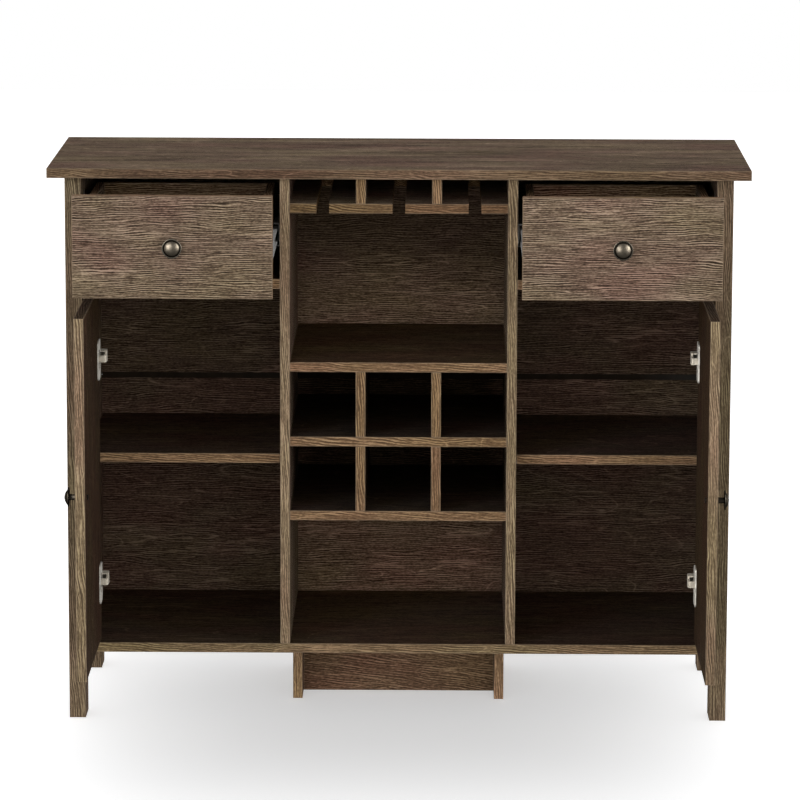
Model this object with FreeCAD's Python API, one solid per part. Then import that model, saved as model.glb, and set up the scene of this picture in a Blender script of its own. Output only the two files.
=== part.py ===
import FreeCAD, Part
import math
import os
from collections import namedtuple
from FreeCAD import Vector

# Buffet cabinet: two drawers over two doors, with a stemware rack and a bottle rack between them.
# Millimetres. X runs left to right, Y from front to back, Z up.
# Pieces are placed with the front plane of the body at Y = 0 and everything closed. At the end the
# doors and drawers open to the stored pose, and the origin moves under the middle of the whole.
# The cabinet is symmetric, so left-hand pieces are made and the right-hand ones are their mirror.

# Boards
BOARD_T = 15.0              # dividers, shelves, uprights, bottom panel and plinth boards
TOP_T = 15.0                # top panel
SIDE_T = 25.0               # side panels, which run down to the floor as legs
BACK_T = 3.0                # back panels
EDGE_EASE = 0.6             # radius on the edges of every board
OVERCUT = 1.0               # how far a cut starts outside the face it enters

# Body
BODY_DEPTH = 380.0          # front plane of the side panels to their rear edge
BAY_W = 300.0               # clear width of a side bay
CELL_W = 100.0              # clear width of a bottle cell
CELL_H = 100.0              # clear height of a bottle cell
CELLS_ACROSS = 3
TOP_SIDE_OVERHANG = 25.0
TOP_FRONT_OVERHANG = 25.0
FLOOR_GAP = 104.0           # floor to the underside of the bottom panel
LOWER_OPEN_H = 193.0        # open shelf under the bottle rack
UPPER_OPEN_H = 228.0        # open shelf over the bottle rack
STEM_H = 40.0               # clear height above the stemware board
DRAWER_OPENING_H = 155.5    # fixed shelf to the underside of the top

# Adjustable shelves in the side bays
SHELF_RISE = 276.0          # top of the bottom panel to the underside of the shelf
SHELF_SETBACK = 30.0
SHELF_REAR_GAP = 2.0
SHELF_SIDE_GAP = 1.0
PIN_R = 2.5
PIN_IN_BOARD = 8.0
PIN_REACH = 9.0             # how far the seat of a shelf pin stands out of the board
PIN_SEAT_W = 8.0
PIN_SEAT_H = 5.0
PIN_CLEAR = 0.05
PIN_ROW_INSET = 37.0        # front and rear edges of the shelf to its pins

# Legs and plinth
LEG_DEPTH = 52.0
LEG_CUT_H = 80.0
LEG_CUT_R = 8.0
FOOT_SETBACK = 131.0        # front plane to the centre feet
FOOT_REAR_GAP = 12.0
KICK_SETBACK = 55.0         # front of the centre feet to the kick board
KICK_DOWEL_RISES = (30.0, 74.0)
KICK_DOWEL_INSET = 60.0

# Stemware board
SLOT_W = 19.0
SLOT_STOP = 45.0            # wood left behind each slot

# Back panels and the strip that joins them
STRIP_T = 1.0
STRIP_H = 9.0
STRIP_CLEAR = 0.2
STRIP_END_GAP = 0.5
RABBET_W = 8.0
BACK_EDGE_GAP = 0.5
NAIL_R = 0.8
NAIL_HEAD_R = 2.0
NAIL_HEAD_T = 0.8
NAIL_L = 20.0
NAIL_CLEAR = 0.05
NAIL_END_INSET = 40.0
NAILS_UP_PANEL = 3
NAILS_BOTTOM_X = (60.0, 300.0, 430.0)

# Dowels
DOWEL_R = 4.0
DOWEL_IN_FACE = 10.0
DOWEL_IN_EDGE = 20.0
DOWEL_CLEAR = 0.1
DOWEL_END_GAP = 0.5
DOWEL_FRONT_INSET = 92.0    # front plane to the front row
DOWEL_REAR_INSET = 88.0     # back panel to the rear row
DOWEL_ROW_SHIFT = 32.0      # moves both rows inwards for the second upright on a shared shelf
FOOT_ROW_INSET = 35.0

# Cam fittings: a disc in one board draws in the head of a bolt that is screwed into the other
Cam = namedtuple("Cam", "disc_r disc_t axis_depth reach")
BODY_CAM = Cam(disc_r=7.5, disc_t=12.0, axis_depth=7.5, reach=34.0)
DRAWER_CAM = Cam(disc_r=6.0, disc_t=9.0, axis_depth=6.0, reach=24.0)
CAM_FRONT_INSET = 60.0      # front plane to the front row
CAM_REAR_INSET = 56.0       # back panel to the rear row
CAM_RECESS = 0.3
CAM_CLEAR = 0.1
CAM_DRIVE_R = 2.2
CAM_DRIVE_DEPTH = 2.0
BOLT_R = 3.0
BOLT_DEPTH = 10.0
BOLT_NECK_R = 2.0
BOLT_HEAD_R = 3.0
BOLT_HEAD_L = 3.0

# Countersunk screws
SCREW_R = 1.75
SCREW_HEAD_R = 3.4
SCREW_HEAD_H = 1.7
SCREW_CLEAR = 0.05
SLIDE_SCREW_L = 10.0
PLATE_SCREW_L = 15.0
CUP_SCREW_L = 11.0
CLAMP_SCREW_L = 8.0
DRAWER_SCREW_L = 30.0
CROSS_L = 4.0               # cross recess in a screw head
CROSS_W = 1.0
CROSS_DEPTH = 1.1

# Doors, set in between the side panel and the divider
DOOR_T = 15.0
FRONT_SIDE_GAP = 3.0        # beside doors and drawer fronts
DOOR_GAP_H = 3.75           # above and below a door
DOOR_OPEN_DEG = 90.0        # stored pose
KNOB_INSET = 35.0           # free edge of the door to the knob

# Concealed hinges, one pivot each
HINGE_FROM_TOP = 106.0
HINGE_FROM_BOTTOM = 90.0
CUP_R = 17.5
CUP_DEPTH = 11.5
CUP_EDGE = 4.0              # wood between the cup and the hinge edge of the door
CUP_WALL = 0.8
CUP_CLEAR = 0.1
CUP_FLOOR_CLEAR = 0.2
FLANGE_T = 2.0
FLANGE_L = 60.0
FLANGE_W = 37.0
FLANGE_RIM = 2.0            # ring of the flange outside the cup
FLANGE_CORNER_R = 5.0
CUP_SCREW_PITCH = 48.0
PIVOT_DEPTH = 8.0           # below the inner face of the door
PIVOT_FROM_EDGE = 13.0      # from the hinge edge of the door
HINGE_PIN_R = 1.2
HINGE_PIN_FIT = 0.02
HINGE_PIN_RUN = 0.05
KNUCKLE_CLEAR = 0.3
ARM_W = 18.0
ARM_T = 2.5
ARM_CUP_CLEAR = 6.0
ARM_BACK = 39.0             # pivot to the step of the arm
NOSE_W = 10.0               # the end of the arm in the cup is narrower
NOSE_BACK = 20.0            # pivot to the shoulder where the arm widens
CHEEK_T = 1.5               # cheeks that make the arm a channel behind the shoulder
CHEEK_DEPTH = 10.0
PLATE_ROW = 37.0            # inner face of the closed door to the plate screws
PLATE_H = 8.0
PLATE_W = 15.0
PLATE_AHEAD = 18.0
PLATE_BEHIND = 26.0
WING_T = 2.0
WING_W = 14.0
WING_L = 52.0
PLATE_SCREW_PITCH = 32.0
CLAMP_BEHIND = 12.0         # plate screws to the screw that clamps the arm

# Drawers
DRAWER_FRONT_T = 15.0
DRAWER_GAP_H = 1.75         # above and below a drawer front
DRAWER_SIDE_T = 12.0
DRAWER_REAR_GAP = 11.0      # drawer box to the back panel when closed
DRAWER_BOX_H = 112.0
DRAWER_BOX_RISE = 15.5      # fixed shelf to the underside of the drawer box
DRAWER_BOTTOM_T = 3.0
DRAWER_BOTTOM_RISE = 10.0
GROOVE_DEPTH = 5.0
GROOVE_END_GAP = 0.5
GROOVE_CLEAR = 0.1
DRAWER_CAM_RISES = (24.0, 92.0)
DRAWER_SCREW_RISES = (20.0, 92.0)
DRAWER_OUT = 212.0          # stored pose

# Ball-bearing slides
SLIDE_GAP = 12.5            # bay wall to drawer side
SLIDE_SETBACK = 2.0         # behind the drawer front
SLIDE_RISE = 65.5           # fixed shelf to the middle of the slide
SLIDE_T = 1.2
SLIDE_H = 35.0
INNER_H = 20.0
OUTER_FLANGE = 9.5
INNER_FLANGE = 8.5
RACE_CLEAR = 0.3            # balls to both races
SLIDE_SCREW_INSET = 30.0    # ends of a slide to its first and last screw
SLIDE_OVERLAP = 100.0       # members still inside each other at full travel
CAGE_T = 1.0
CAGE_L = 95.0
CAGE_MARGIN = 3.0           # cage strip past the ball line, beyond the ball
CAGE_RATIO = 0.5            # a ball cage rolls half as far as its drawer
BALLS_PER_ROW = 6
BALL_CLEAR = 0.15

# Knobs
KNOB_R = 14.8
KNOB_RIM_T = 1.6
KNOB_DOME_R = 12.0
KNOB_DOME_H = 5.2
KNOB_GROOVE = 0.7
KNOB_STEM_R = 4.4
KNOB_STEM_L = 11.4
KNOB_SCREW_R = 2.0
KNOB_SCREW_IN = 12.0        # length of the screw inside the knob
KNOB_SCREW_HEAD_R = 4.0
KNOB_SCREW_HEAD_H = 2.2
KNOB_SCREW_CLEAR = 0.05

# Widths from the middle of the cabinet outwards
CELL_HALF = CELL_W / 2
CENTRE_HALF = (CELLS_ACROSS * CELL_W + (CELLS_ACROSS - 1) * BOARD_T) / 2
DIVIDER_OUT = CENTRE_HALF + BOARD_T
BAY_OUT = DIVIDER_OUT + BAY_W
BODY_HALF = BAY_OUT + SIDE_T
TOP_HALF = BODY_HALF + TOP_SIDE_OVERHANG

# Depths from the front plane
BACK_REAR = BODY_DEPTH - STRIP_T
INNER_DEPTH = BACK_REAR - BACK_T
FOOT_REAR = INNER_DEPTH - FOOT_REAR_GAP
KICK_FRONT = FOOT_SETBACK + KICK_SETBACK
DOWEL_ROWS = (DOWEL_FRONT_INSET, INNER_DEPTH - DOWEL_REAR_INSET)
DOWEL_ROWS_ALT = (DOWEL_ROWS[0] + DOWEL_ROW_SHIFT, DOWEL_ROWS[1] - DOWEL_ROW_SHIFT)
CAM_ROWS = (CAM_FRONT_INSET, INNER_DEPTH - CAM_REAR_INSET)

# Heights from the floor
BOTTOM_TOP = FLOOR_GAP + BOARD_T
RACK_BOTTOM = BOTTOM_TOP + LOWER_OPEN_H
RACK_MIDDLE = RACK_BOTTOM + BOARD_T + CELL_H
RACK_TOP = RACK_MIDDLE + BOARD_T + CELL_H
STEM_BOARD = RACK_TOP + BOARD_T + UPPER_OPEN_H
BODY_TOP = STEM_BOARD + BOARD_T + STEM_H
FIXED_SHELF_TOP = BODY_TOP - DRAWER_OPENING_H
FIXED_SHELF = FIXED_SHELF_TOP - BOARD_T
SHELF = BOTTOM_TOP + SHELF_RISE
SEAM = (FLOOR_GAP + BODY_TOP) / 2
SLIDE_Z = FIXED_SHELF_TOP + SLIDE_RISE

# Door and hinge places, in a left bay: u is inwards from the side panel
DOOR_W = BAY_W - 2 * FRONT_SIDE_GAP
DOOR_BOTTOM = BOTTOM_TOP + DOOR_GAP_H
DOOR_TOP = FIXED_SHELF - DOOR_GAP_H
HINGE_HEIGHTS = (DOOR_BOTTOM + HINGE_FROM_BOTTOM, DOOR_TOP - HINGE_FROM_TOP)
PIVOT_U = FRONT_SIDE_GAP + PIVOT_FROM_EDGE
PIVOT_Y = DOOR_T - PIVOT_DEPTH
CUP_U = FRONT_SIDE_GAP + CUP_EDGE + CUP_R
CUP_OUT_R = CUP_R - CUP_CLEAR
CUP_IN_R = CUP_OUT_R - CUP_WALL
CUP_IN_DEPTH = CUP_DEPTH - CUP_FLOOR_CLEAR - CUP_WALL
KNUCKLE_R = CUP_IN_DEPTH - PIVOT_DEPTH - KNUCKLE_CLEAR
PLATE_Y = DOOR_T + PLATE_ROW

# Drawer places, in a left bay
BOX_OUTER = SLIDE_GAP
BOX_INNER = BAY_W - SLIDE_GAP
BOX_BOTTOM = FIXED_SHELF_TOP + DRAWER_BOX_RISE
BOX_REAR = INNER_DEPTH - DRAWER_REAR_GAP
FRONT_BOTTOM = FIXED_SHELF_TOP + DRAWER_GAP_H
FRONT_TOP = BODY_TOP - DRAWER_GAP_H
SLIDE_L = BOX_REAR - DRAWER_FRONT_T
SLIDE_FRONT = DRAWER_FRONT_T + SLIDE_SETBACK
SLIDE_SCREWS = (SLIDE_SCREW_INSET, SLIDE_L / 2, SLIDE_L - SLIDE_SCREW_INSET)
SLIDE_TRAVEL = SLIDE_L - SLIDE_OVERLAP
RACE_GAP = SLIDE_H / 2 - SLIDE_T - INNER_H / 2
BALL_R = RACE_GAP / 2 - RACE_CLEAR
BALL_Z = INNER_H / 2 + RACE_GAP / 2
BALL_U = (SLIDE_GAP - INNER_FLANGE + OUTER_FLANGE) / 2
CAGE_WEB_U = (SLIDE_T + SLIDE_GAP - INNER_FLANGE - CAGE_T) / 2
CAGE_FLANGE_U = BALL_U + BALL_R + CAGE_MARGIN / 2
CAGE_FRONT = SLIDE_FRONT + (SLIDE_L - SLIDE_TRAVEL - CAGE_L) / 2 + SLIDE_TRAVEL * CAGE_RATIO

# The open door reaches furthest forward, the rear edge of the body furthest back
DOOR_REACH = PIVOT_Y + PIVOT_FROM_EDGE - DOOR_W
FRONT_PLANE = -(BODY_DEPTH + DOOR_REACH) / 2

LEFT = Vector(-1, 0, 0)
RIGHT = Vector(1, 0, 0)
FORWARD = Vector(0, -1, 0)
BACKWARD = Vector(0, 1, 0)
UP = Vector(0, 0, 1)
DOWN = Vector(0, 0, -1)
ORIGIN = Vector(0, 0, 0)

solids = {}
cutters = {}


# Ways to place pieces and cuts, on one side or on both

def other_side(node):
    return node.replace("left", "right")


def mirrored(shape):
    return shape.mirror(ORIGIN, RIGHT)


def put(node, shape):
    solids.setdefault(node, []).append(shape)


def put_pair(node, shape):
    put(node, shape)
    put(other_side(node), mirrored(shape))


def cut(node, tool):
    cutters.setdefault(node, []).append(tool)


def cut_pair(node, tool):
    cut(node, tool)
    cut(other_side(node), mirrored(tool))


# Basic shapes

def box(x0, x1, y0, y1, z0, z1):
    return Part.makeBox(x1 - x0, y1 - y0, z1 - z0, Vector(x0, y0, z0))


def rod(start, direction, radius, length):
    return Part.makeCylinder(radius, length, start, direction)


def eased(shape):
    return shape.makeFillet(EDGE_EASE, shape.Edges)


def board(x0, x1, y0, y1, z0, z1):
    return eased(box(x0, x1, y0, y1, z0, z1))


def in_bay(u, y, z):
    return Vector(u - BAY_OUT, y, z)


def bay_box(u0, u1, y0, y1, z0, z1):
    return box(u0 - BAY_OUT, u1 - BAY_OUT, y0, y1, z0, z1)


def joined(first, *others):
    return first.fuse(list(others)).removeSplitter()


# Fasteners

def dowel(edge, face, point, direction):
    """Dowel in the end of one board and the face of another, on both sides of the cabinet."""
    length = DOWEL_IN_EDGE + DOWEL_IN_FACE
    put_pair("wood_dowels", rod(point - direction * DOWEL_IN_EDGE, direction, DOWEL_R, length))
    start = point - direction * (DOWEL_IN_EDGE + DOWEL_END_GAP)
    hole = rod(start, direction, DOWEL_R + DOWEL_CLEAR, length + 2 * DOWEL_END_GAP)
    cut_pair(edge, hole)
    cut_pair(face, hole)


def cam_bolt(centre, direction, reach):
    head = rod(centre - direction * (BOLT_HEAD_L / 2), direction, BOLT_HEAD_R, BOLT_HEAD_L)
    neck = rod(centre, direction, BOLT_NECK_R, reach)
    thread = rod(centre + direction * reach, direction, BOLT_R, BOLT_DEPTH)
    return joined(head, neck, thread)


def cam_disc(centre, direction, open_side, size):
    seat = centre + open_side * (size.axis_depth - CAM_RECESS)
    disc = rod(seat, -open_side, size.disc_r, size.disc_t)
    mouth = centre - direction * (BOLT_HEAD_L / 2 + CAM_CLEAR)
    pocket = rod(mouth, direction, BOLT_HEAD_R + CAM_CLEAR, size.disc_r * 2)
    drive = rod(seat, -open_side, CAM_DRIVE_R, CAM_DRIVE_DEPTH)
    return disc.cut([pocket, drive])


def cam(node, size, edge, face, point, direction, open_side):
    """Cam disc in the face of one board, its bolt screwed into another, on both sides."""
    centre = point - direction * size.reach
    put_pair(node, cam_bolt(centre, direction, size.reach))
    put_pair(node, cam_disc(centre, direction, open_side, size))
    mouth = centre + open_side * (size.axis_depth + OVERCUT)
    depth = OVERCUT + CAM_RECESS + size.disc_t + CAM_CLEAR
    cut_pair(edge, rod(mouth, -open_side, size.disc_r + CAM_CLEAR, depth))
    cut_pair(edge, rod(centre, direction, BOLT_HEAD_R + CAM_CLEAR, size.reach + OVERCUT))
    cut_pair(face, rod(point - direction * OVERCUT, direction, BOLT_R + CAM_CLEAR,
                       OVERCUT + BOLT_DEPTH + CAM_CLEAR))


def screw_form(seat, direction, length, grow):
    head = Part.makeCone(SCREW_HEAD_R + grow, SCREW_R + grow, SCREW_HEAD_H, seat, direction)
    shank = rod(seat, direction, SCREW_R + grow, length + grow)
    return joined(head, shank)


def cross_recess(seat, direction):
    """Cross for a screwdriver, sunk into a head that is driven along a level direction."""
    bars = []
    for along, across in ((UP, direction.cross(UP)), (direction.cross(UP), UP)):
        corner = along * (CROSS_L / 2) + across * (CROSS_W / 2)
        start = seat - direction * OVERCUT - corner
        end = seat + direction * CROSS_DEPTH + corner
        xs, ys, zs = (sorted(pair) for pair in zip(start, end))
        bars.append(box(*xs, *ys, *zs))
    return bars


def screw(node, seat, direction, length, through):
    """Countersunk screw, flush with the piece it enters first, on both sides of the cabinet."""
    put_pair(node, screw_form(seat, direction, length, 0).cut(cross_recess(seat, direction)))
    for piece in through:
        cut_pair(piece, screw_form(seat, direction, length, SCREW_CLEAR))


def nail(panel, into, x, z):
    seat = Vector(x, BACK_REAR, z)
    head = rod(seat, FORWARD, NAIL_HEAD_R, NAIL_HEAD_T)
    shank = rod(seat, FORWARD, NAIL_R, NAIL_L)
    put_pair("back_nails", joined(head, shank))
    start = seat + BACKWARD * OVERCUT
    cut_pair(panel, rod(start, FORWARD, NAIL_HEAD_R + NAIL_CLEAR, OVERCUT + NAIL_HEAD_T))
    hole = rod(seat, FORWARD, NAIL_R + NAIL_CLEAR, NAIL_L + NAIL_CLEAR)
    cut_pair(panel, hole)
    cut_pair(into, hole)


# Body boards

def side_panel():
    panel = box(-BODY_HALF, -BAY_OUT, 0, BODY_DEPTH, 0, BODY_TOP)
    gap = box(-BODY_HALF - OVERCUT, -BAY_OUT + OVERCUT, LEG_DEPTH, BODY_DEPTH - LEG_DEPTH,
              -LEG_CUT_R, LEG_CUT_H)
    corners = [e for e in gap.Edges if e.BoundBox.ZMin > 0 and e.BoundBox.YLength < OVERCUT]
    panel = eased(panel.cut(gap.makeFillet(LEG_CUT_R, corners)))
    rabbet = box(-BAY_OUT - RABBET_W, -BAY_OUT + OVERCUT, INNER_DEPTH, BODY_DEPTH + OVERCUT,
                 FLOOR_GAP, BODY_TOP + OVERCUT)
    return panel.cut(rabbet)


def outer_boards():
    put("top_panel", board(-TOP_HALF, TOP_HALF, -TOP_FRONT_OVERHANG, BODY_DEPTH,
                           BODY_TOP, BODY_TOP + TOP_T))
    put_pair("left_side_panel", side_panel())
    put_pair("left_divider", board(-DIVIDER_OUT, -CENTRE_HALF, 0, INNER_DEPTH, BOTTOM_TOP, BODY_TOP))
    put("bottom_panel", board(-BAY_OUT, BAY_OUT, 0, INNER_DEPTH, FLOOR_GAP, BOTTOM_TOP))
    put_pair("left_fixed_shelf", board(-BAY_OUT, -DIVIDER_OUT, 0, INNER_DEPTH,
                                       FIXED_SHELF, FIXED_SHELF_TOP))


def adjustable_shelves():
    rear = INNER_DEPTH - SHELF_REAR_GAP
    put_pair("left_adjustable_shelf", board(-BAY_OUT + SHELF_SIDE_GAP, -DIVIDER_OUT - SHELF_SIDE_GAP,
                                            SHELF_SETBACK, rear, SHELF, SHELF + BOARD_T))
    for y in (SHELF_SETBACK + PIN_ROW_INSET, rear - PIN_ROW_INSET):
        shelf_pin("left_side_panel", Vector(-BAY_OUT, y, SHELF), RIGHT)
        shelf_pin("left_divider", Vector(-DIVIDER_OUT, y, SHELF), LEFT)


def shelf_pin(wall, point, inwards):
    """Peg in the wall with a flat seat under the shelf."""
    middle = point + DOWN * (PIN_SEAT_H / 2)
    length = PIN_IN_BOARD + PIN_REACH
    peg = rod(middle - inwards * PIN_IN_BOARD, inwards, PIN_R, length)
    near = min(point.x, point.x + inwards.x * PIN_REACH)
    seat = box(near, near + PIN_REACH, point.y - PIN_SEAT_W / 2, point.y + PIN_SEAT_W / 2,
               point.z - PIN_SEAT_H, point.z)
    put_pair("shelf_pins", joined(peg, seat))
    hole_start = middle - inwards * (PIN_IN_BOARD + PIN_CLEAR)
    cut_pair(wall, rod(hole_start, inwards, PIN_R + PIN_CLEAR, length))


def bottle_rack():
    for name, z in (("rack_bottom_shelf", RACK_BOTTOM), ("rack_middle_shelf", RACK_MIDDLE),
                    ("rack_top_shelf", RACK_TOP)):
        put(name, board(-CENTRE_HALF, CENTRE_HALF, 0, INNER_DEPTH, z, z + BOARD_T))
    for name, z in (("left_lower_rack_upright", RACK_BOTTOM), ("left_upper_rack_upright", RACK_MIDDLE)):
        put_pair(name, board(-CELL_HALF - BOARD_T, -CELL_HALF, 0, INNER_DEPTH,
                             z + BOARD_T, z + BOARD_T + CELL_H))


def slot(x):
    rear = INNER_DEPTH - SLOT_STOP - SLOT_W / 2
    run = box(x - SLOT_W / 2, x + SLOT_W / 2, -OVERCUT, rear, STEM_BOARD - OVERCUT,
              STEM_BOARD + BOARD_T + OVERCUT)
    end = rod(Vector(x, rear, STEM_BOARD - OVERCUT), UP, SLOT_W / 2, BOARD_T + 2 * OVERCUT)
    return joined(run, end)


def stemware_rack():
    rack = box(-CENTRE_HALF, CENTRE_HALF, 0, INNER_DEPTH, STEM_BOARD, STEM_BOARD + BOARD_T)
    pitch = CELL_W + BOARD_T
    first = -pitch * (CELLS_ACROSS - 1) / 2
    rack = rack.cut([slot(first + pitch * index) for index in range(CELLS_ACROSS)])
    put("stemware_board", eased(rack))
    put_pair("left_stemware_upright", board(-CELL_HALF - BOARD_T, -CELL_HALF, 0, INNER_DEPTH,
                                            STEM_BOARD + BOARD_T, BODY_TOP))


def plinth():
    put_pair("left_centre_foot", board(-CENTRE_HALF, -CENTRE_HALF + BOARD_T, FOOT_SETBACK, FOOT_REAR,
                                       0, FLOOR_GAP))
    inner = CENTRE_HALF - BOARD_T
    put("kick_board", board(-inner, inner, KICK_FRONT, KICK_FRONT + BOARD_T, 0, FLOOR_GAP))


# Back of the body

def back_panels():
    half = BAY_OUT + RABBET_W - BACK_EDGE_GAP
    seam_half = STRIP_T / 2 + STRIP_CLEAR
    put("lower_back_panel", box(-half, half, INNER_DEPTH, BACK_REAR, FLOOR_GAP, SEAM - seam_half))
    put("upper_back_panel", box(-half, half, INNER_DEPTH, BACK_REAR, SEAM + seam_half, BODY_TOP))


def joint_strip():
    """H-section strip that holds the meeting edges of the two back panels."""
    half = BAY_OUT - STRIP_END_GAP
    low = SEAM - STRIP_H / 2
    high = SEAM + STRIP_H / 2
    front = box(-half, half, INNER_DEPTH - STRIP_T, INNER_DEPTH, low, high)
    web = box(-half, half, INNER_DEPTH, BACK_REAR, SEAM - STRIP_T / 2, SEAM + STRIP_T / 2)
    rear = box(-half, half, BACK_REAR, BACK_REAR + STRIP_T, low, high)
    put("back_joint_strip", joined(front, web, rear))
    notch = box(-BAY_OUT, BAY_OUT, INNER_DEPTH - STRIP_T - STRIP_CLEAR, INNER_DEPTH + OVERCUT,
                low - STRIP_CLEAR, high + STRIP_CLEAR)
    for node in ("left_divider", "left_upper_rack_upright", "left_lower_rack_upright", "left_fixed_shelf"):
        cut_pair(node, notch)
    for node in ("rack_bottom_shelf", "rack_middle_shelf", "rack_top_shelf"):
        cut(node, notch)


def nail_heights(low, high):
    step = (high - low - 2 * NAIL_END_INSET) / (NAILS_UP_PANEL - 1)
    return [low + NAIL_END_INSET + step * index for index in range(NAILS_UP_PANEL)]


def back_nails():
    side_x = -(BAY_OUT + RABBET_W / 2)
    divider_x = -(DIVIDER_OUT - BOARD_T / 2)
    for panel, low, high in (("lower_back_panel", BOTTOM_TOP, SEAM), ("upper_back_panel", SEAM, BODY_TOP)):
        for z in nail_heights(low, high):
            nail(panel, "left_side_panel", side_x, z)
            nail(panel, "left_divider", divider_x, z)
    for x in NAILS_BOTTOM_X:
        nail("lower_back_panel", "bottom_panel", -x, FLOOR_GAP + BOARD_T / 2)


# Joints between the boards of the body

def fix(edge, face, x, z, direction, open_side):
    """Two dowels and two cam fittings along one board joint."""
    for y in DOWEL_ROWS:
        dowel(edge, face, Vector(x, y, z), direction)
    for y in CAM_ROWS:
        cam("cam_fittings", BODY_CAM, edge, face, Vector(x, y, z), direction, open_side)


def peg(edge, face, x, z, direction, rows=DOWEL_ROWS):
    """Dowels alone along one board joint."""
    for y in rows:
        dowel(edge, face, Vector(x, y, z), direction)


def join_body():
    side_x = -(BAY_OUT + BODY_CAM.axis_depth)
    divider_x = -(DIVIDER_OUT - BODY_CAM.axis_depth)
    fix("left_side_panel", "top_panel", side_x, BODY_TOP, UP, RIGHT)
    fix("left_divider", "top_panel", divider_x, BODY_TOP, UP, LEFT)
    fix("left_divider", "bottom_panel", divider_x, BOTTOM_TOP, DOWN, LEFT)
    fix("bottom_panel", "left_side_panel", -BAY_OUT, FLOOR_GAP + BODY_CAM.axis_depth, LEFT, DOWN)
    shelf_z = FIXED_SHELF + BODY_CAM.axis_depth
    fix("left_fixed_shelf", "left_side_panel", -BAY_OUT, shelf_z, LEFT, DOWN)
    fix("left_fixed_shelf", "left_divider", -DIVIDER_OUT, shelf_z, RIGHT, DOWN)


def join_racks():
    for name, z in (("rack_bottom_shelf", RACK_BOTTOM), ("rack_top_shelf", RACK_TOP)):
        fix(name, "left_divider", -CENTRE_HALF, z + BODY_CAM.axis_depth, LEFT, DOWN)
    peg("rack_middle_shelf", "left_divider", -CENTRE_HALF, RACK_MIDDLE + BOARD_T / 2, LEFT)
    peg("stemware_board", "left_divider", -CENTRE_HALF, STEM_BOARD + BOARD_T / 2, LEFT)
    x = -CELL_HALF - BOARD_T / 2
    peg("left_upper_rack_upright", "rack_top_shelf", x, RACK_TOP, UP)
    peg("left_upper_rack_upright", "rack_middle_shelf", x, RACK_MIDDLE + BOARD_T, DOWN)
    peg("left_lower_rack_upright", "rack_middle_shelf", x, RACK_MIDDLE, UP, DOWEL_ROWS_ALT)
    peg("left_lower_rack_upright", "rack_bottom_shelf", x, RACK_BOTTOM + BOARD_T, DOWN, DOWEL_ROWS_ALT)
    peg("left_stemware_upright", "top_panel", x, BODY_TOP, UP)
    peg("left_stemware_upright", "stemware_board", x, STEM_BOARD + BOARD_T, DOWN, DOWEL_ROWS_ALT)


def join_plinth():
    foot_x = -CENTRE_HALF + BOARD_T / 2
    foot_rows = (FOOT_SETBACK + FOOT_ROW_INSET, FOOT_REAR - FOOT_ROW_INSET)
    peg("left_centre_foot", "bottom_panel", foot_x, FLOOR_GAP, UP, foot_rows)
    kick_y = KICK_FRONT + BOARD_T / 2
    kick_end = -CENTRE_HALF + BOARD_T
    for z in KICK_DOWEL_RISES:
        dowel("kick_board", "left_centre_foot", Vector(kick_end, kick_y, z), LEFT)
    dowel("kick_board", "bottom_panel", Vector(kick_end + KICK_DOWEL_INSET, kick_y, FLOOR_GAP), UP)


# Knobs

def knob():
    """Mushroom knob standing out of Y = 0 towards the front, with a rim and a dome."""
    back = KNOB_STEM_L
    step = back + KNOB_RIM_T
    top = step + KNOB_DOME_H
    dome_radius = (KNOB_DOME_R ** 2 + KNOB_DOME_H ** 2) / (2 * KNOB_DOME_H)
    half_angle = math.asin(KNOB_DOME_R / dome_radius) / 2
    dome_mid = (dome_radius * math.sin(half_angle), top - dome_radius * (1 - math.cos(half_angle)))
    rim_round = KNOB_RIM_T / 2

    def at(radius, height):
        return Vector(radius, -height, 0)

    edges = [
        Part.makeLine(at(0, 0), at(KNOB_STEM_R, 0)),
        Part.makeLine(at(KNOB_STEM_R, 0), at(KNOB_STEM_R, back)),
        Part.makeLine(at(KNOB_STEM_R, back), at(KNOB_R - rim_round, back)),
        Part.Arc(at(KNOB_R - rim_round, back), at(KNOB_R, back + rim_round),
                 at(KNOB_R - rim_round, step)).toShape(),
        Part.makeLine(at(KNOB_R - rim_round, step), at(KNOB_DOME_R + KNOB_GROOVE, step)),
        Part.makeLine(at(KNOB_DOME_R + KNOB_GROOVE, step), at(KNOB_DOME_R, step - KNOB_GROOVE)),
        Part.makeLine(at(KNOB_DOME_R, step - KNOB_GROOVE), at(KNOB_DOME_R, step)),
        Part.Arc(at(KNOB_DOME_R, step), at(*dome_mid), at(0, top)).toShape(),
        Part.makeLine(at(0, top), at(0, 0)),
    ]
    turned = Part.Face(Part.Wire(edges)).revolve(ORIGIN, BACKWARD, 360)
    return Part.Solid(turned) if turned.ShapeType == "Shell" else turned


def fit_knob(knob_node, screw_node, panel_node, point, panel_t):
    """Knob on the front face of a panel, with the screw that holds it from behind."""
    turned = knob()
    turned.translate(point)
    put_pair(knob_node, turned)
    seat = point + BACKWARD * panel_t
    length = panel_t + KNOB_SCREW_IN
    head = rod(seat, BACKWARD, KNOB_SCREW_HEAD_R, KNOB_SCREW_HEAD_H)
    whole = joined(head, rod(seat, FORWARD, KNOB_SCREW_R, length))
    put_pair(screw_node, whole.cut(cross_recess(seat + BACKWARD * KNOB_SCREW_HEAD_H, FORWARD)))
    hole = rod(seat, FORWARD, KNOB_SCREW_R + KNOB_SCREW_CLEAR, length + KNOB_SCREW_CLEAR)
    cut_pair(knob_node, hole)
    cut_pair(panel_node, hole)


# Doors and their hinges

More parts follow.
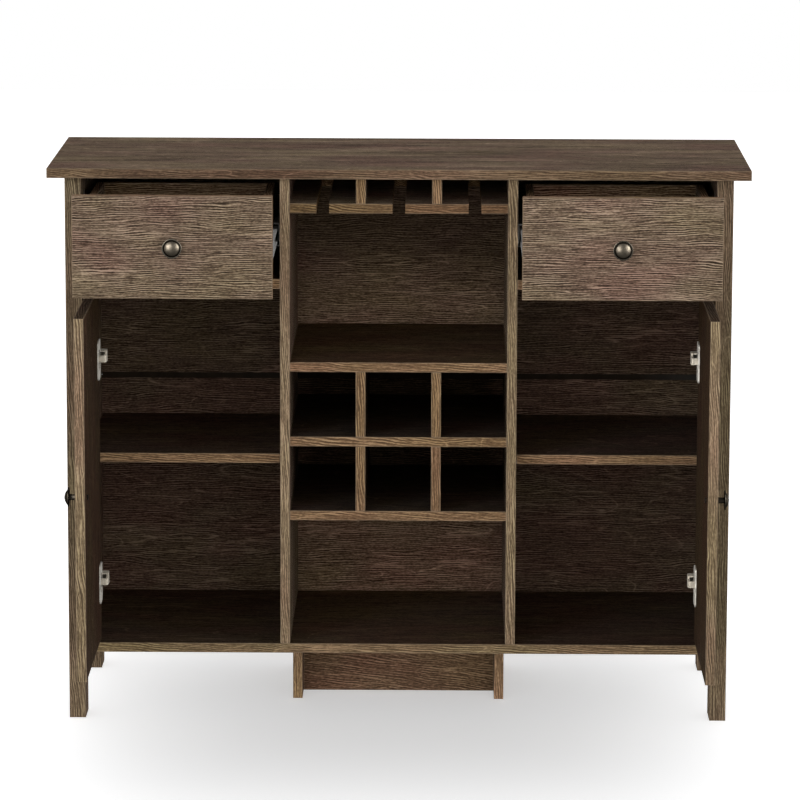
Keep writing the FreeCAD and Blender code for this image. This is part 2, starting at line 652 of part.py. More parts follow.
def door():
    put_pair("left_door_panel", eased(bay_box(FRONT_SIDE_GAP, FRONT_SIDE_GAP + DOOR_W, 0, DOOR_T,
                                              DOOR_BOTTOM, DOOR_TOP)))
    knob_at = in_bay(FRONT_SIDE_GAP + DOOR_W - KNOB_INSET, 0, (DOOR_BOTTOM + DOOR_TOP) / 2)
    fit_knob("left_door_knob", "left_door_screws", "left_door_panel", knob_at, DOOR_T)
    for z in HINGE_HEIGHTS:
        hinge_cup(z)
        hinge_arm(z)
        mounting_plate(z)
        hinge_pin(z)


def flange(z):
    face = in_bay(CUP_U, DOOR_T, z)
    plate = bay_box(CUP_U - FLANGE_W / 2, CUP_U + FLANGE_W / 2, DOOR_T, DOOR_T + FLANGE_T,
                    z - FLANGE_L / 2, z + FLANGE_L / 2)
    corners = [e for e in plate.Edges if e.BoundBox.YLength > FLANGE_T / 2]
    plate = plate.makeFillet(FLANGE_CORNER_R, corners)
    return joined(plate, rod(face, BACKWARD, CUP_OUT_R + FLANGE_RIM, FLANGE_T))


def hinge_cup(z):
    face = in_bay(CUP_U, DOOR_T, z)
    shell = joined(flange(z), rod(face, FORWARD, CUP_OUT_R, CUP_IN_DEPTH + CUP_WALL))
    hollow = rod(face + BACKWARD * (FLANGE_T + OVERCUT), FORWARD, CUP_IN_R,
                 FLANGE_T + OVERCUT + CUP_IN_DEPTH)
    put_pair("left_door_hinge_cups", shell.cut(hollow))
    cut_pair("left_door_panel", rod(face + BACKWARD * OVERCUT, FORWARD, CUP_R, OVERCUT + CUP_DEPTH))
    for shift in (-CUP_SCREW_PITCH / 2, CUP_SCREW_PITCH / 2):
        seat = in_bay(CUP_U, DOOR_T + FLANGE_T, z + shift)
        screw("left_door_screws", seat, FORWARD, CUP_SCREW_L, ("left_door_hinge_cups", "left_door_panel"))


def pin_half():
    """Half the length of a hinge pin, which ends inside the wall of the cup."""
    return math.sqrt(CUP_OUT_R ** 2 - (CUP_U - PIVOT_U + HINGE_PIN_R) ** 2) - HINGE_PIN_RUN


def hinge_pin(z):
    start = in_bay(PIVOT_U, PIVOT_Y, z - pin_half())
    put_pair("hinge_pins", rod(start, UP, HINGE_PIN_R, 2 * pin_half()))
    run = rod(start + DOWN * OVERCUT, UP, HINGE_PIN_R + HINGE_PIN_RUN, 2 * (pin_half() + OVERCUT))
    cut_pair("left_door_hinge_cups", run)


def arm_path():
    """Bends of the arm and its width up to each: out of the cup, back, down to the plate and along it."""
    cup_reach = math.sqrt(CUP_IN_R ** 2 - (NOSE_W / 2) ** 2)
    out = CUP_U + cup_reach - ARM_CUP_CLEAR - ARM_T / 2
    shoulder = PIVOT_Y + NOSE_BACK
    step = PIVOT_Y + ARM_BACK
    low = PLATE_H + ARM_T / 2
    return [(PIVOT_U, PIVOT_Y, NOSE_W), (out, PIVOT_Y, NOSE_W), (out, shoulder, NOSE_W), (out, step, ARM_W),
            (low, step, ARM_W), (low, PLATE_Y + PLATE_BEHIND - ARM_T / 2, ARM_W)]


def arm_cheeks(z):
    """Two cheeks that turn the arm into a channel, open towards the side panel."""
    out, shoulder, _ = arm_path()[2]
    step = PIVOT_Y + ARM_BACK
    low = z - ARM_W / 2
    return [bay_box(out - CHEEK_DEPTH, out, shoulder, step, edge, edge + CHEEK_T)
            for edge in (low, low + ARM_W - CHEEK_T)]


def hinge_arm(z):
    """Bent strip with a rounded outside at every bend and a knuckle round the pin."""
    path = arm_path()
    pieces = arm_cheeks(z)
    for (u0, y0, _), (u1, y1, width) in zip(path, path[1:]):
        low = z - width / 2
        across = ARM_T / 2 if u0 == u1 else 0
        along = ARM_T / 2 if y0 == y1 else 0
        pieces.append(rod(in_bay(u1, y1, low), UP, ARM_T / 2, width))
        pieces.append(bay_box(min(u0, u1) - across, max(u0, u1) + across,
                              min(y0, y1) - along, max(y0, y1) + along, low, low + width))
    low = z - NOSE_W / 2
    knuckle = rod(in_bay(PIVOT_U, PIVOT_Y, low), UP, KNUCKLE_R, NOSE_W)
    bore = rod(in_bay(PIVOT_U, PIVOT_Y, low - OVERCUT), UP, HINGE_PIN_R + HINGE_PIN_FIT,
               NOSE_W + 2 * OVERCUT)
    put_pair("hinge_arms_and_plates", joined(knuckle, *pieces).cut(bore))


def mounting_plate(z):
    """Winged plate on the side panel, the arm clamped along its ridge."""
    ridge = bay_box(0, PLATE_H, PLATE_Y - PLATE_AHEAD, PLATE_Y + PLATE_BEHIND,
                    z - PLATE_W / 2, z + PLATE_W / 2)
    wings = bay_box(0, WING_T, PLATE_Y - WING_W / 2, PLATE_Y + WING_W / 2, z - WING_L / 2, z + WING_L / 2)
    put_pair("hinge_arms_and_plates", joined(ridge, wings))
    for shift in (-PLATE_SCREW_PITCH / 2, PLATE_SCREW_PITCH / 2):
        screw("carcass_screws", in_bay(WING_T, PLATE_Y, z + shift), LEFT, PLATE_SCREW_L,
              ("hinge_arms_and_plates", "left_side_panel"))
    clamp = in_bay(PLATE_H + ARM_T, PLATE_Y + CLAMP_BEHIND, z)
    screw("carcass_screws", clamp, LEFT, CLAMP_SCREW_L, ("hinge_arms_and_plates",))


# Drawers

def drawer():
    box_top = BOX_BOTTOM + DRAWER_BOX_H
    inside_left = BOX_OUTER + DRAWER_SIDE_T
    inside_right = BOX_INNER - DRAWER_SIDE_T
    put_pair("left_drawer_front", eased(bay_box(FRONT_SIDE_GAP, BAY_W - FRONT_SIDE_GAP, 0, DRAWER_FRONT_T,
                                                FRONT_BOTTOM, FRONT_TOP)))
    put_pair("left_drawer_outer_side", eased(bay_box(BOX_OUTER, inside_left, DRAWER_FRONT_T, BOX_REAR,
                                                     BOX_BOTTOM, box_top)))
    put_pair("left_drawer_inner_side", eased(bay_box(inside_right, BOX_INNER, DRAWER_FRONT_T, BOX_REAR,
                                                     BOX_BOTTOM, box_top)))
    put_pair("left_drawer_back", eased(bay_box(inside_left, inside_right,
                                               BOX_REAR - DRAWER_SIDE_T, BOX_REAR, BOX_BOTTOM, box_top)))
    drawer_bottom(inside_left, inside_right)
    drawer_joints(inside_left, inside_right)
    knob_at = in_bay(BAY_W / 2, 0, (FRONT_BOTTOM + FRONT_TOP) / 2)
    fit_knob("left_drawer_knob", "left_drawer_fixings", "left_drawer_front", knob_at, DRAWER_FRONT_T)


def drawer_bottom(inside_left, inside_right):
    """Thin bottom that slides in a groove round the inside of the drawer."""
    low = BOX_BOTTOM + DRAWER_BOTTOM_RISE
    inside_rear = BOX_REAR - DRAWER_SIDE_T
    tongue = GROOVE_DEPTH - GROOVE_END_GAP
    put_pair("left_drawer_bottom", bay_box(inside_left - tongue, inside_right + tongue,
                                           DRAWER_FRONT_T - tongue, inside_rear + tongue,
                                           low, low + DRAWER_BOTTOM_T))
    groove = bay_box(inside_left - GROOVE_DEPTH, inside_right + GROOVE_DEPTH,
                     DRAWER_FRONT_T - GROOVE_DEPTH, inside_rear + GROOVE_DEPTH,
                     low - GROOVE_CLEAR, low + DRAWER_BOTTOM_T + GROOVE_CLEAR)
    for piece in ("front", "outer_side", "inner_side", "back"):
        cut_pair("left_drawer_" + piece, groove)


def drawer_joints(inside_left, inside_right):
    """Cam fittings hold the front to the sides, screws hold the back between them."""
    walls = (("left_drawer_outer_side", inside_left - DRAWER_CAM.axis_depth, BOX_OUTER, RIGHT),
             ("left_drawer_inner_side", inside_right + DRAWER_CAM.axis_depth, BOX_INNER, LEFT))
    for side, axis_u, outside_u, inwards in walls:
        for rise in DRAWER_CAM_RISES:
            cam("left_drawer_fixings", DRAWER_CAM, side, "left_drawer_front",
                in_bay(axis_u, DRAWER_FRONT_T, BOX_BOTTOM + rise), FORWARD, inwards)
        for rise in DRAWER_SCREW_RISES:
            seat = in_bay(outside_u, BOX_REAR - DRAWER_SIDE_T / 2, BOX_BOTTOM + rise)
            screw("left_drawer_fixings", seat, inwards, DRAWER_SCREW_L, (side, "left_drawer_back"))


# Ball-bearing slides. w is measured from the bay wall towards the drawer.

def channel(wall_u, side, front, length, web, flange_reach, half_height, thickness):
    """C-section along the slide: a web between two distances, flanges to a third."""
    def part(w0, w1, z0, z1):
        us = sorted((wall_u + side * w0, wall_u + side * w1))
        return bay_box(us[0], us[1], front, front + length, SLIDE_Z + z0, SLIDE_Z + z1)

    near = min(web[0], flange_reach)
    far = max(web[1], flange_reach)
    upper = part(near, far, half_height - thickness, half_height)
    lower = part(near, far, -half_height, thickness - half_height)
    return joined(part(web[0], web[1], -half_height, half_height), upper, lower)


def slide(wall_u, side, wall_node, drawer_side_node):
    """Outer member on the bay wall, inner member on the drawer, ball cage between them."""
    inwards = RIGHT * side
    put_pair("outer_slides", channel(wall_u, side, SLIDE_FRONT, SLIDE_L, (0, SLIDE_T), OUTER_FLANGE,
                                     SLIDE_H / 2, SLIDE_T))
    put_pair("left_drawer_inner_slides", channel(wall_u, side, SLIDE_FRONT, SLIDE_L,
                                                 (SLIDE_GAP - SLIDE_T, SLIDE_GAP),
                                                 SLIDE_GAP - INNER_FLANGE, INNER_H / 2, SLIDE_T))
    ball_cage(wall_u, side)
    for along in SLIDE_SCREWS:
        y = SLIDE_FRONT + along
        screw("carcass_screws", in_bay(wall_u + side * SLIDE_T, y, SLIDE_Z), -inwards, SLIDE_SCREW_L,
              ("outer_slides", wall_node))
        screw("left_drawer_fixings", in_bay(wall_u + side * (SLIDE_GAP - SLIDE_T), y, SLIDE_Z), inwards,
              SLIDE_SCREW_L, ("left_drawer_inner_slides", drawer_side_node))


def ball_cage(wall_u, side):
    """Sheet cage with a row of balls above and below the inner member."""
    cage = channel(wall_u, side, CAGE_FRONT, CAGE_L, (CAGE_WEB_U, CAGE_WEB_U + CAGE_T), CAGE_FLANGE_U,
                   BALL_Z + CAGE_T / 2, CAGE_T)
    pitch = CAGE_L / BALLS_PER_ROW
    holes = []
    for z in (SLIDE_Z - BALL_Z, SLIDE_Z + BALL_Z):
        for index in range(BALLS_PER_ROW):
            centre = in_bay(wall_u + side * BALL_U, CAGE_FRONT + pitch * (index + 0.5), z)
            put_pair("left_drawer_ball_cages", Part.makeSphere(BALL_R, centre))
            holes.append(rod(centre + DOWN * CAGE_T, UP, BALL_R + BALL_CLEAR, 2 * CAGE_T))
    put_pair("left_drawer_ball_cages", cage.cut(holes))


# Stored pose and export

def opened(node, shape):
    """Moves a closed piece to the stored pose, doors swung open and drawers pulled out."""
    side, _, piece = node.partition("_")
    if piece.startswith("door_"):
        turn = -DOOR_OPEN_DEG if side == "left" else DOOR_OPEN_DEG
        pivot = in_bay(PIVOT_U, PIVOT_Y, 0)
        pivot.x = pivot.x if side == "left" else -pivot.x
        shape.rotate(pivot, UP, turn)
    elif piece == "drawer_ball_cages":
        shape.translate(FORWARD * (DRAWER_OUT * CAGE_RATIO))
    elif piece.startswith("drawer_"):
        shape.translate(FORWARD * DRAWER_OUT)
    shape.translate(BACKWARD * FRONT_PLANE)
    return shape


def finished(node):
    """All solids of a node, with their holes, in the stored pose."""
    whole = Part.makeCompound(solids[node]) if len(solids[node]) > 1 else solids[node][0]
    if node in cutters:
        whole = whole.cut(cutters[node])
    pieces = [opened(node, solid) for solid in whole.Solids]
    return Part.makeCompound(pieces) if len(pieces) > 1 else pieces[0]


outer_boards()
adjustable_shelves()
bottle_rack()
stemware_rack()
plinth()
back_panels()
joint_strip()
back_nails()
join_body()
join_racks()
join_plinth()
door()
drawer()
slide(0, 1, "left_side_panel", "left_drawer_outer_side")
slide(BAY_W, -1, "left_divider", "left_drawer_inner_side")

os.makedirs("parts", exist_ok=True)
for node in solids:
    shape = finished(node)
    shape.exportStep("parts/" + node + ".step")
    print(node, len(shape.Solids), shape.isValid(), round(shape.Volume))
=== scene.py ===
import math

import bpy
from mathutils import Euler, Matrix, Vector


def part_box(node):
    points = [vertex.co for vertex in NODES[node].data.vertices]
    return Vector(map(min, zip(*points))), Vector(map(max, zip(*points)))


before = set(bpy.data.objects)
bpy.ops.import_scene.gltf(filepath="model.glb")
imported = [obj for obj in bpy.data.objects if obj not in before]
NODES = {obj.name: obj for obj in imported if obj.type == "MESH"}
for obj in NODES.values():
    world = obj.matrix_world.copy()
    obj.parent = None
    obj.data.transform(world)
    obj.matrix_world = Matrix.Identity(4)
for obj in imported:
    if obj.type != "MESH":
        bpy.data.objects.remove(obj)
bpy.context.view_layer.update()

# Looks of the buffet cabinet: grained oak-look boards, bronze knobs, nickel hinges and zinc slides,
# on a pale floor in soft studio light. Metres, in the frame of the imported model.

SIDES = ("left", "right")
AXES = {"X": 0, "Y": 1, "Z": 2}
WHITE = (1.0, 1.0, 1.0, 1.0)

# Camera, fitted to the corners of the cabinet in the photograph
CAMERA_PLACE = (0.0622, -6.70, 1.6811)
CAMERA_PITCH_DEG = 10.08        # downwards
CAMERA_YAW_DEG = 0.514          # to the left
CAMERA_ROLL_DEG = 0.18
CAMERA_LENS = 199.75            # millimetres, as the sensor width
SENSOR_WIDTH = 36.0
CLIP_END = 100.0

# Light: a white studio, brightest round the horizon, and two softboxes
HORIZON = 2.9                   # strength of the studio at floor level
ZENITH = 0.15                   # and overhead
HORIZON_TOP = 0.05              # sines of the heights between which one turns into the other
ZENITH_START = 0.65
SIDE_SHARE = 0.6                # the studio is dimmer to the left and right
SIDE_START = 0.35               # sines of the angles between which it dims
SIDE_END = 0.85
SOFTBOX_PLACES = {"left_softbox": (-2.3, -3.0, 1.7), "right_softbox": (3.2, -1.7, 1.7)}
SOFTBOX_SIZE = (1.6, 2.0)
SOFTBOX_WATTS = 1300.0          # seen only in reflections
LIGHT_AIM = (0.0, -0.2, 0.7)

# Floor, which glows where it is seen, so that open floor is white; the glow is weaker near the cabinet, a
# painted shadow beside the real one
FLOOR_HALF = 9.0
FLOOR_COLOUR = (0.86, 0.86, 0.87, 1.0)
FLOOR_ROUGHNESS = 0.9
FLOOR_SPECULAR = 0.0
# Painted shadow: within these reaches of the cabinet the floor glows less
FLOOR_MIDDLE = (0.0, 0.03, 0.0)
PAINTED_SHADOW_REACH = (0.56, 0.75, 1.0)  # half width and half depth of the part that shows the shadow
GLOW_IN_PAINTED_SHADOW = 0.45                # strength under the cabinet
GLOW_FAR = 1.0                  # and on open floor
GLOW_SPAN = (0.2, 1.2)          # distances, in reaches, between which the glow grows
GLOW_POWER = 2.0

# Curve from screen values to linear ones
SCREEN_FULL = 255.0
SCREEN_TOE = 0.04045
SCREEN_TOE_SLOPE = 12.92
SCREEN_OFFSET = 0.055
SCREEN_POWER = 2.4


def linear(value):
    """Linear value from an 8-bit screen value."""
    share = value / SCREEN_FULL
    if share <= SCREEN_TOE:
        return share / SCREEN_TOE_SLOPE
    return ((share + SCREEN_OFFSET) / (1 + SCREEN_OFFSET)) ** SCREEN_POWER


def srgb(red, green, blue):
    """Linear colour from 8-bit screen values."""
    return (linear(red), linear(green), linear(blue), 1.0)


# Shader nodes

MIX_SOCKETS = {"RGBA": (6, 7, 2), "VECTOR": (4, 5, 1)}  # the two inputs and the output of each kind of mix
NOISE_MIDDLE = 0.5              # noise varies round this value


def add(tree, kind, inputs=None, **settings):
    """Adds a shader node; each input is a value or another node's output."""
    made = tree.nodes.new("ShaderNode" + kind)
    for name, value in settings.items():
        setattr(made, name, value)
    for key, value in (inputs or {}).items():
        if isinstance(value, bpy.types.NodeSocket):
            tree.links.new(value, made.inputs[key])
        else:
            made.inputs[key].default_value = value
    return made


def maths(tree, operation, first, second=0.0, third=0.0):
    """One operation on up to three numbers."""
    inputs = {0: first, 1: second, 2: third}
    return add(tree, "Math", inputs, operation=operation).outputs[0]


def vectors(tree, operation, first, second=(0.0, 0.0, 0.0)):
    """One operation on one or two vectors."""
    return add(tree, "VectorMath", {0: first, 1: second}, operation=operation).outputs[0]


def length(tree, vector):
    """Length of a vector."""
    return add(tree, "VectorMath", {0: vector}, operation="LENGTH").outputs["Value"]


def split(tree, vector):
    """The three parts of a vector."""
    return add(tree, "SeparateXYZ", {0: vector}).outputs


def noise(tree, vector, scale, detail, roughness=0.5, distortion=0.0):
    """Noise between 0 and 1."""
    inputs = {"Vector": vector, "Scale": scale, "Detail": detail, "Roughness": roughness,
              "Distortion": distortion}
    return add(tree, "TexNoise", inputs).outputs["Fac"]


def spread(tree, value, low, high, to_low=0.0, to_high=1.0):
    """Stretches a value range to another one, clamped."""
    inputs = {"Value": value, "From Min": low, "From Max": high, "To Min": to_low, "To Max": to_high}
    return add(tree, "MapRange", inputs, clamp=True).outputs[0]


def distance(tree, value, middle):
    """How far a number is from a middle value, either way."""
    return maths(tree, "ABSOLUTE", maths(tree, "SUBTRACT", value, middle))


def mixed(tree, share, first, second, blend="MIX", kind="RGBA"):
    """Mixes two colours or vectors; a share of 1 gives the second."""
    at_first, at_second, at_output = MIX_SOCKETS[kind]
    inputs = {0: share, at_first: first, at_second: second}
    return add(tree, "Mix", inputs, data_type=kind, blend_type=blend).outputs[at_output]


def ramp(tree, value, span, colours):
    """Colour ramp through colours that are spaced evenly over a span of the value."""
    made = add(tree, "ValToRGB", {"Fac": value})
    elements = made.color_ramp.elements
    low, high = span
    step = (high - low) / (len(colours) - 1)
    while len(elements) < len(colours):
        elements.new((low + high) / 2)
    for index, colour in enumerate(colours):
        elements[index].position = low + index * step
        elements[index].color = colour
    return made.outputs["Color"]


def material(name):
    """An empty material and its tree, with a principled shader."""
    made = bpy.data.materials.new(name)
    made.use_nodes = True
    tree = made.node_tree
    tree.nodes.clear()
    shader = add(tree, "BsdfPrincipled")
    output = add(tree, "OutputMaterial")
    tree.links.new(shader.outputs["BSDF"], output.inputs["Surface"])
    return made, tree, shader


def surface(tree, shader, colour, roughness, height, bump, depth):
    """Links a colour, a roughness and a relief to a shader."""
    relief = add(tree, "Bump", {"Height": height, "Strength": bump, "Distance": depth})
    tree.links.new(colour, shader.inputs["Base Color"])
    tree.links.new(roughness, shader.inputs["Roughness"])
    tree.links.new(relief.outputs[0], shader.inputs["Normal"])


def dress(node, made):
    """Gives a CAD node its finish."""
    slots = NODES[node].data.materials
    slots.clear()
    slots.append(made)


# Oak-look board: colours from the pores to the palest grain, and the hues it drifts between

OAK_MID = srgb(111, 92, 75)
OAK_GRAIN = (srgb(52, 37, 27), srgb(80, 62, 48), OAK_MID, srgb(146, 127, 107), srgb(176, 158, 136))
OAK_HUES = (srgb(123, 91, 78), OAK_MID, srgb(117, 101, 75))  # mauve to olive
# Pale arrises: partly wear, partly a painted highlight along the edges
OAK_EDGE_WEAR_AND_HIGHLIGHT = srgb(150, 131, 108)  # worn arrises
TINT_SHARE = 0.55               # how far the hue drifts
OAK_ROUGHNESS = (0.92, 0.74)    # dark grain, pale grain
OAK_BUMP = 0.35
OAK_DEPTH = 0.0004
OAK_SPECULAR = 0.015
EDGE_WEAR_AND_HIGHLIGHT_WIDTH = 0.0022
WEAR_SCALE = 160.0
WEAR_DETAIL = 3.0
FACING = 0.7                    # a face looks along an axis where its normal passes this

# Layers of the grain. Sizes are (along, across) the grain
FINE = 1.0                      # detail of the small layers, and of the broad ones
BROAD = 2.0
BEND = (0.16, 0.06)             # slow wander of the grain lines
BEND_REACH = 0.010
RIPPLE = (0.030, 0.014)         # small waves on every line
RIPPLE_REACH = 0.0014
LINE_PITCHES = (0.0033, 0.0028)  # brushed grain lines, a pale one beside a dark one, in two sets
LINE_SHIFT = Vector((3.1, 1.9, 2.3))  # between the noise of the two sets
LINE_WANDER = (0.12, 0.014)
LINE_WANDER_TURNS = 2.2
DASH = (0.040, 0.0045)          # where the lines fade and start again
DASH_SPAN = (0.35, 0.6)
STREAK = (0.030, 0.0016)        # uneven dark and pale streaks between them
STREAK_DARK = (0.34, 0.46)      # stretches of the noise that turn dark, and pale
STREAK_PALE = (0.55, 0.68)
FIBRE = (0.0045, 0.0012)
PORE = (0.014, 0.0008)
PORE_SPAN = (0.34, 0.42)
BAND = (0.25, 0.030)            # broad early and late wood
VEIN = (0.10, 0.008)            # long thin pale lines, in patches
VEIN_SOFTNESS = 0.04
VEIN_PATCH = (0.20, 0.05)
VEIN_PATCH_SPAN = (0.5, 0.62)
GROWTH = (0.45, 0.075)          # arched growth rings
GROWTH_ROUGHNESS = 0.4
RINGS = 9.0
RING_FOLD = 0.5                 # a ring's tone rises to this and falls again
RING_MIDDLE = 0.25
ARCH_RINGS = 16.0               # thin pale veins along some of the rings, in patches
ARCH_SOFTNESS = 0.045
ARCH_PATCH = (0.10, 0.03)
ARCH_PATCH_SPAN = (0.42, 0.58)
DRIFT = (0.20, 0.09)            # slow change of hue
DRIFT_SPAN = (0.36, 0.64)
TONE_SPAN = (0.0, 1.0)
SHEEN_SPAN = (0.1, 0.9)         # tones between which the roughness changes

# Shares of the layers in the tone
LINE_WEIGHT = 0.42
DARK_WEIGHT = -0.14
PALE_WEIGHT = 0.12
FIBRE_WEIGHT = 0.95
RING_WEIGHT = 0.10
VEIN_WEIGHT = 0.50
PORE_WEIGHT = -0.32
SET_WEIGHTS = {"Lines": 1.0, "Band": 0.20, "Arch": 0.42}  # shares that differ from board to board
BOARD_WEIGHTS = {
    "top_panel": {"Band": 1.0},
    "kick_board": {"Lines": 0.7, "Arch": 0.8},
    "left_drawer_front": {"Arch": 0.2},
    "lower_back_panel": {"Lines": 0.8, "Arch": 0.38},
    "upper_back_panel": {"Lines": 0.8, "Arch": 0.2},
}

# Slope of the grain to the length of the board, its scale, and how far it is softened
FACE_RUN = (0.0, 1.0, 0.0)
EDGE_RUN = (0.05, 0.9, 0.35)
BOARD_RUNS = {"kick_board": (0.12, 0.8, 0.2)}


def sided(values):
    """The same values for the left and the right piece of each name."""
    return {side + "_" + name: value for side in SIDES for name, value in values.items()}


# Axis of the grain on each board, and of the band on its ends
FLAT_BOARDS = ("top_panel", "bottom_panel", "rack_bottom_shelf", "rack_middle_shelf", "rack_top_shelf",
               "stemware_board")
FLAT_PAIRS = ("fixed_shelf", "adjustable_shelf", "drawer_bottom")
FACING_BOARDS = ("kick_board", "lower_back_panel", "upper_back_panel")
FACING_PAIRS = ("drawer_front", "drawer_back")
UPRIGHT_PAIRS = ("side_panel", "divider", "lower_rack_upright", "upper_rack_upright", "stemware_upright",
                 "centre_foot", "door_panel")
DRAWER_PAIRS = ("drawer_outer_side", "drawer_inner_side")
GRAIN = dict.fromkeys(FLAT_BOARDS, ("X", "Y")) | sided(dict.fromkeys(FLAT_PAIRS, ("X", "Y")))
GRAIN |= dict.fromkeys(FACING_BOARDS, ("X", "Z")) | sided(dict.fromkeys(FACING_PAIRS, ("X", "Z")))
GRAIN |= sided(dict.fromkeys(UPRIGHT_PAIRS, ("Z", "Y"))) | sided(dict.fromkeys(DRAWER_PAIRS, ("Y", "Z")))
OFFSET_STEP = Vector((1.7, 0.9, 1.3))  # from one board's stretch of grain to the next one's

# Tones that multiply the grain: outer faces as printed, edge bands paler and warmer, inner faces darker
# with painted shade
FACE_TONE = (1.06, 1.07, 1.09, 1.0)
INNER_FACE_PAINTED_SHADE = (0.43, 0.38, 0.365, 1.0)
DRAWER_BACK_PAINTED_LIGHT = (1.21, 1.1, 0.985, 1.0)
RACK_PAINTED_SHADE = (0.25, 0.22, 0.2, 1.0)
BACK_PAINTED_SHADE = (0.57, 0.55, 0.55, 1.0)
# Face tones of single boards: painted shade on the top, the bottom, the back panels, the shelves and the
# rack, and painted light on the drawer backs
FACE_PAINTED_LIGHT_AND_SHADE = {
    "top_panel": (0.97, 0.92, 0.87, 1.0),
    "bottom_panel": (0.41, 0.37, 0.335, 1.0),
    "kick_board": (1.11, 0.985, 0.885, 1.0),
    "lower_back_panel": BACK_PAINTED_SHADE,
    "upper_back_panel": BACK_PAINTED_SHADE,
    "rack_bottom_shelf": RACK_PAINTED_SHADE,
    "rack_middle_shelf": RACK_PAINTED_SHADE,
    "rack_top_shelf": (0.56, 0.5, 0.38, 1.0),
}
FACE_PAINTED_LIGHT_AND_SHADE |= sided({"fixed_shelf": INNER_FACE_PAINTED_SHADE, "adjustable_shelf": INNER_FACE_PAINTED_SHADE, "drawer_back": DRAWER_BACK_PAINTED_LIGHT,
                     "lower_rack_upright": RACK_PAINTED_SHADE, "upper_rack_upright": RACK_PAINTED_SHADE})
EDGE_TONE = (1.46, 1.29, 1.04, 1.0)
# Edge tones of single boards: painted light and shade, paler or darker by how much light each edge gets
EDGE_PAINTED_LIGHT_AND_SHADE = {
    "top_panel": (0.94, 0.86, 0.77, 1.0),
    "bottom_panel": (1.37, 1.41, 1.13, 1.0),
    "stemware_board": (1.1, 0.98, 0.73, 1.0),
}
EDGE_PAINTED_LIGHT_AND_SHADE |= sided({"side_panel": (1.045, 1.13, 1.025, 1.0), "divider": (1.7, 1.77, 1.62, 1.0),
                     "centre_foot": (2.08, 1.9, 1.6, 1.0), "door_panel": (1.6, 1.66, 1.5, 1.0)})

# Painted light and shade on edges towards the floor: the side panels' edges paler at the legs, the doors'
# edges darker low down, and the heights between which it fades
LEG_EDGE_PAINTED_LIGHT = (1.17, 1.2, 1.13, 1.0)
LEG_SPAN = (0.10, 0.13)
LOW_DOOR_EDGE_PAINTED_SHADE = (1.34, 1.39, 1.24, 1.0)
DOOR_SPAN = (0.16, 0.45)
LOW_EDGE_PAINTED_LIGHT_AND_SHADE = sided({"side_panel": (LEG_SPAN, LEG_EDGE_PAINTED_LIGHT), "door_panel": (DOOR_SPAN, LOW_DOOR_EDGE_PAINTED_SHADE)})

# Painted light: boards that pass behind or under all three bays are paler in the middle bay
MIDDLE_SPAN = (0.14, 0.20)      # half widths between which it fades
MIDDLE_PAINTED_LIGHT = {
    "lower_back_panel": (1.06, 0.99, 0.95, 1.0),
    "upper_back_panel": (1.02, 0.98, 0.95, 1.0),
    "bottom_panel": (0.52, 0.45, 0.36, 1.0),
}
# Painted shade: the back turns dim under the stemware board
HIGH_SPAN = (0.59, 0.69)        # heights between which the back turns dim under the stemware board
HIGH_PAINTED_SHADE = {"upper_back_panel": (0.50, 0.47, 0.48, 1.0)}
RACK_HEIGHT = (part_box("rack_bottom_shelf")[0].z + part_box("rack_top_shelf")[1].z) / 2
# Painted shade: the back is dark behind the rack
RACK_REACH = 0.11               # the back is dark as far as this above and below the middle of the rack

# Inner faces and tops of the doors, which carry painted shade, and bare undersides and backs: axis and
# direction that they face
DOOR_PAINTED_SHADE_SIDES = {"left_door_panel": (("X", 1), ("Z", 1)), "right_door_panel": (("X", -1), ("Z", 1))}
DOOR_PAINTED_SHADE_TONE = (0.31, 0.255, 0.188, 1.0)
BARE_SIDES = dict.fromkeys(("lower_back_panel", "upper_back_panel"), ("Y", 1))
BARE_SIDES |= sided({"drawer_bottom": ("Z", -1)})

# Bare hardboard
HARDBOARD = (srgb(94, 69, 48), srgb(128, 98, 70))
HARDBOARD_SPAN = (0.32, 0.68)
FELT_SCALE = 420.0
FELT_DETAIL = 4.0
FELT_ROUGHNESS = 0.7
FELT_DISTORTION = 1.5
FELT_CLOUD_SCALE = 9.0
FELT_CLOUD_SHARE = 0.5


def layer(tree, place, size, detail=FINE, roughness=0.5):
    """Noise with cells of one (along, across) size, in grain coordinates."""
    along, across = size
    scaled = vectors(tree, "MULTIPLY", place, (1 / along, 1 / across, 1 / across))
    return noise(tree, scaled, 1.0, detail, roughness)


def centred(tree, value, middle=NOISE_MIDDLE):
    """A number as its difference from a middle value."""
    return maths(tree, "SUBTRACT", value, middle)


def sideways(tree, place, amount, reach):
    """Moves a place across the grain, by up to half the reach each way."""
    move = maths(tree, "MULTIPLY", centred(tree, amount), reach)
    return vectors(tree, "ADD", place, add(tree, "CombineXYZ", {1: move, 2: move}).outputs[0])


def grain_lines(tree, place):
    """Tone of the brushed lines and of the streaks between them, round 0."""
    parts = split(tree, place)
    across = maths(tree, "ADD", parts[1], parts[2])
    streak = layer(tree, place, STREAK)
    tone = spread(tree, streak, *STREAK_DARK, DARK_WEIGHT, 0.0)
    for order, pitch in enumerate(LINE_PITCHES):
        own = vectors(tree, "ADD", place, LINE_SHIFT * order)
        wander = maths(tree, "MULTIPLY", layer(tree, own, LINE_WANDER, BROAD), LINE_WANDER_TURNS)
        turns = maths(tree, "MULTIPLY_ADD", across, 1 / pitch, wander)
        wave = maths(tree, "SINE", maths(tree, "MULTIPLY", turns, 2 * math.pi))
        dash = spread(tree, layer(tree, own, DASH), *DASH_SPAN)
        tone = maths(tree, "MULTIPLY_ADD", maths(tree, "MULTIPLY", wave, dash), LINE_WEIGHT, tone)
    return maths(tree, "ADD", tone, spread(tree, streak, *STREAK_PALE, 0.0, PALE_WEIGHT))


